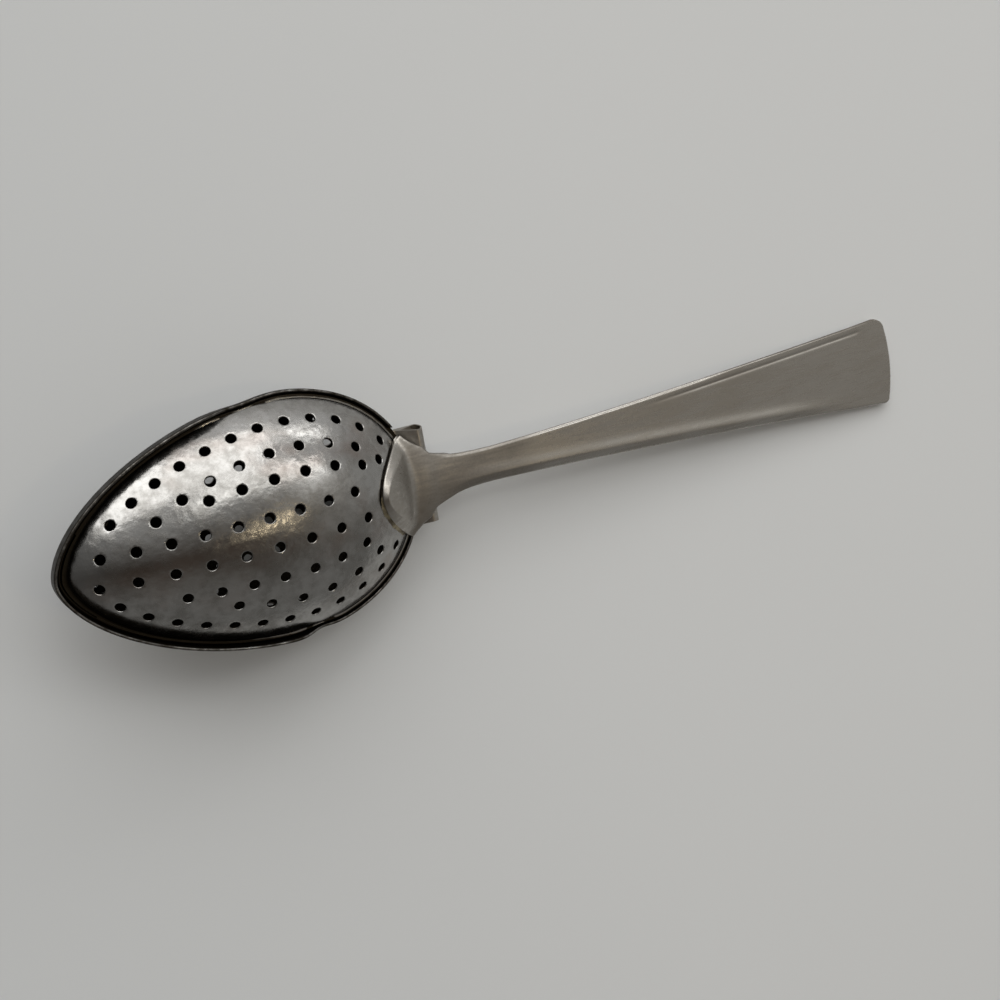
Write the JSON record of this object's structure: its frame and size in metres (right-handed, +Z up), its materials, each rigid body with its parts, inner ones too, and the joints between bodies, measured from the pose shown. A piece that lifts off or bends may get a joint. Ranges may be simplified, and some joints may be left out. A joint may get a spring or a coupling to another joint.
{
  "type": "tea infuser spoon",
  "caption": "Tea infuser spoon: a flat flared handle carries one perforated egg-shaped bowl, and a second perforated bowl with a standing rim is hinged to it at the neck as the lid.",
  "frame": {"origin": "centre of the spoon's footprint on the table it lies on", "axes": "+X along the handle from the bowls to the handle's end, +Y across it, +Z up, with the spoon lying face down on the lid's crown and on the end of the handle"},
  "size_m": [0.1564, 0.0398, 0.0218],
  "materials": {
    "brushed_silver": "worn satin silver plate",
    "polished_silver": "polished silver plate with fine scratches and tea stains",
    "tarnished_solder": "dark golden tarnished solder"
  },
  "bodies": {
    "spoon": {"handle": "brushed_silver", "handle_lug": "brushed_silver", "hinge_pin": "brushed_silver", "fixed_bowl": "polished_silver", "bowl_solder": "tarnished_solder"},
    "lid": {"lid_bowl": "polished_silver", "lid_leaf": "brushed_silver", "lid_solder": "tarnished_solder"}
  },
  "joints": [
    {"name": "lid_hinge", "type": "hinge", "parent": "spoon", "child": "lid", "pos_m": [-0.01765, 0, 0.00553], "axis": [0, -1, 0], "range_deg": [0, 100]}
  ]
}
